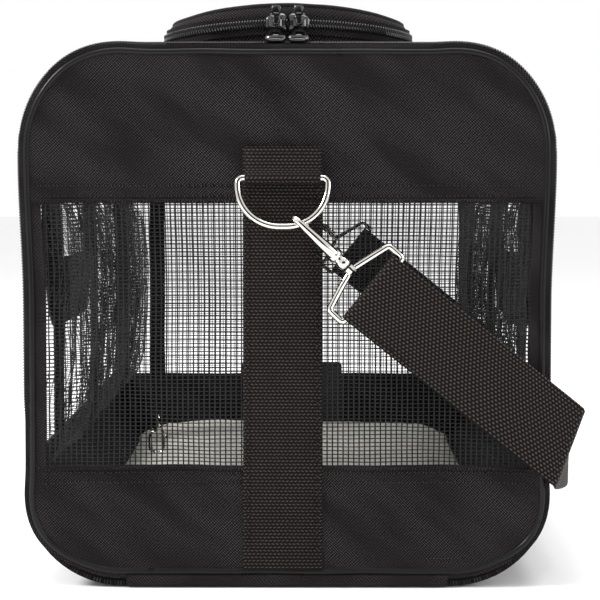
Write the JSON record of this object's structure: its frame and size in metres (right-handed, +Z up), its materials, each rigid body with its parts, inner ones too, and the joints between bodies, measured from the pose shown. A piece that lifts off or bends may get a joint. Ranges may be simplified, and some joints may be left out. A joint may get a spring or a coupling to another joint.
{
  "type": "soft-sided pet carrier bag",
  "caption": "Soft-sided fabric pet carrier with mesh windows, a zipped end door, a raised zipped roof hatch, webbing handles and a clip-on shoulder strap.",
  "frame": {"origin": "centre of the underside of the bag", "axes": "+Z up, +Y along the bag towards its far end, +X to the side where the shoulder strap hangs; the end door is at -Y"},
  "size_m": [0.2732, 0.5374, 0.2809],
  "materials": {
    "polyester": "black oxford polyester, fine diagonal weave, soft sheen",
    "mesh": "black woven mesh",
    "webbing": "brownish black chevron webbing",
    "piping": "glossy black PVC piping",
    "zip": "black nylon coil zip on woven tape",
    "slider": "black enamelled slider",
    "nickel": "polished nickel plate",
    "spring_wire": "drawn steel wire",
    "fleece": "light grey beige fleece",
    "board": "stiff black board",
    "patch": "plain dark rubberised patch"
  },
  "bodies": {
    "carrier": {"base_panel": "polyester", "lower_band_left": "polyester", "lower_band_right": "polyester", "side_mesh_left": "mesh", "side_mesh_right": "mesh", "top_panel_left": "polyester", "top_panel_right": "polyester", "roof_strip_near": "polyester", "roof_strip_far": "polyester", "hatch_collar": "polyester", "hatch_zip": "zip", "end_zip": "zip", "far_bottom_panel": "polyester", "far_mesh": "mesh", "far_top_panel": "polyester", "far_piping": "piping", "far_frame_wire": "spring_wire", "far_webbing": "webbing", "far_ring_loop": "webbing", "far_patch": "patch", "side_webbing_left": "webbing", "side_webbing_right": "webbing", "base_board": "board", "bed_pad": "fleece", "strap_side": "webbing"},
    "end_door": {"near_bottom_panel": "polyester", "near_mesh": "mesh", "near_top_panel": "polyester", "near_piping": "piping", "near_frame_wire": "spring_wire", "near_webbing": "webbing", "near_ring_loop": "webbing", "end_door_zip": "zip"},
    "near_strap": {"near_strap_frame": "nickel", "strap_front": "webbing"},
    "near_ring": {"near_ring": "nickel"},
    "near_hook": {"near_hook": "nickel"},
    "near_gate": {"near_gate": "nickel"},
    "far_strap": {"far_strap_frame": "nickel", "strap_back": "webbing"},
    "far_ring": {"far_ring": "nickel"},
    "far_hook": {"far_hook": "nickel"},
    "far_gate": {"far_gate": "nickel"},
    "top_door": {"lid_rim": "polyester", "lid_mesh": "mesh"},
    "end_slider_left": {"end_slider_left": "slider"},
    "end_slider_right": {"end_slider_right": "slider"},
    "end_pull_left": {"end_pull_left": "slider"},
    "end_pull_right": {"end_pull_right": "slider"},
    "hatch_slider_left": {"hatch_slider_left": "slider"},
    "hatch_slider_right": {"hatch_slider_right": "slider"},
    "hatch_pull_left": {"hatch_pull_left": "slider"},
    "hatch_pull_right": {"hatch_pull_right": "slider"},
    "handle_left": {"handle_left": "webbing"},
    "handle_right": {"handle_right": "webbing", "handle_wrap": "polyester"},
    "tether": {"tether": "webbing", "tether_clip": "nickel"},
    "strap_adjuster": {"strap_adjuster": "slider"}
  },
  "joints": [
    {"name": "end_door_hinge", "type": "hinge", "parent": "carrier", "child": "end_door", "pos_m": [0, -0.2492, 0], "axis": [1, 0, 0], "range_deg": [0, 75]},
    {"name": "top_door_hinge", "type": "hinge", "parent": "carrier", "child": "top_door", "pos_m": [-0.0603, 0, 0.271], "axis": [0, -1, 0], "range_deg": [0, 100]},
    {"name": "near_strap_swing", "type": "hinge", "parent": "end_door", "child": "near_strap", "pos_m": [-0.002, -0.2573, 0.196], "axis": [-1, 0, 0], "range_deg": [0, 35]},
    {"name": "near_ring_swing", "type": "hinge", "parent": "end_door", "child": "near_ring", "pos_m": [-0.002, -0.2573, 0.196], "axis": [-1, 0, 0], "range_deg": [0, 35]},
    {"name": "near_hook_swivel", "type": "hinge", "parent": "near_strap", "child": "near_hook", "pos_m": [0.0285, -0.2618, 0.1542], "axis": [0.7314, 0, -0.682], "range_deg": [-12, 12]},
    {"name": "near_gate_hinge", "type": "hinge", "parent": "near_hook", "child": "near_gate", "pos_m": [0.02009, -0.2568, 0.16204], "axis": [0.682, 0, 0.7314], "range_deg": [0, 22], "stiffness_Nm_per_rad": 0.02, "springref_deg": -17.19},
    {"name": "far_strap_swing", "type": "hinge", "parent": "carrier", "child": "far_strap", "pos_m": [-0.002, 0.2573, 0.196], "axis": [1, 0, 0], "range_deg": [0, 35]},
    {"name": "far_ring_swing", "type": "hinge", "parent": "carrier", "child": "far_ring", "pos_m": [-0.002, 0.2573, 0.196], "axis": [1, 0, 0], "range_deg": [0, 35]},
    {"name": "far_hook_swivel", "type": "hinge", "parent": "far_strap", "child": "far_hook", "pos_m": [0.0285, 0.2618, 0.1542], "axis": [0.7314, 0, -0.682], "range_deg": [-12, 12]},
    {"name": "far_gate_hinge", "type": "hinge", "parent": "far_hook", "child": "far_gate", "pos_m": [0.02009, 0.2568, 0.16204], "axis": [-0.682, 0, -0.7314], "range_deg": [0, 22], "stiffness_Nm_per_rad": 0.02, "springref_deg": -17.19},
    {"name": "end_slider_left_slide", "type": "slide", "parent": "carrier", "child": "end_slider_left", "axis": [-1, 0, 0], "range_m": [0, 0.06]},
    {"name": "end_slider_right_slide", "type": "slide", "parent": "carrier", "child": "end_slider_right", "axis": [1, 0, 0], "range_m": [0, 0.06]},
    {"name": "hatch_slider_left_slide", "type": "slide", "parent": "carrier", "child": "hatch_slider_left", "axis": [-1, 0, 0], "range_m": [0, 0.02]},
    {"name": "hatch_slider_right_slide", "type": "slide", "parent": "carrier", "child": "hatch_slider_right", "axis": [1, 0, 0], "range_m": [0, 0.02]},
    {"name": "end_pull_left_hinge", "type": "hinge", "parent": "end_slider_left", "child": "end_pull_left", "pos_m": [-0.0055, -0.2406, 0.2646], "axis": [1, 0, 0], "range_deg": [0, 90]},
    {"name": "hatch_pull_left_hinge", "type": "hinge", "parent": "hatch_slider_left", "child": "hatch_pull_left", "pos_m": [-0.0055, -0.2222, 0.2704], "axis": [1, 0, 0], "range_deg": [0, 65]},
    {"name": "end_pull_right_hinge", "type": "hinge", "parent": "end_slider_right", "child": "end_pull_right", "pos_m": [0.0055, -0.2406, 0.2646], "axis": [1, 0, 0], "range_deg": [0, 90]},
    {"name": "hatch_pull_right_hinge", "type": "hinge", "parent": "hatch_slider_right", "child": "hatch_pull_right", "pos_m": [0.0055, -0.2222, 0.2704], "axis": [1, 0, 0], "range_deg": [0, 65]},
    {"name": "handle_left_swing", "type": "hinge", "parent": "carrier", "child": "handle_left", "pos_m": [-0.1302, 0, 0.21], "axis": [0, 1, 0], "range_deg": [0, 175]},
    {"name": "handle_right_swing", "type": "hinge", "parent": "carrier", "child": "handle_right", "pos_m": [0.1302, 0, 0.21], "axis": [0, -1, 0], "range_deg": [0, 175]},
    {"name": "tether_swing", "type": "hinge", "parent": "carrier", "child": "tether", "pos_m": [-0.082, 0.0447, 0.252], "axis": [1, 0, 0], "range_deg": [-12, 12]},
    {"name": "adjuster_slide", "type": "slide", "parent": "carrier", "child": "strap_adjuster", "axis": [0, 1, 0], "range_m": [-0.15, 0.15]}
  ],
  "couplings": [
    {"joint": "near_ring_swing", "follows": "near_strap_swing", "ratio": 1},
    {"joint": "far_ring_swing", "follows": "far_strap_swing", "ratio": 1}
  ]
}
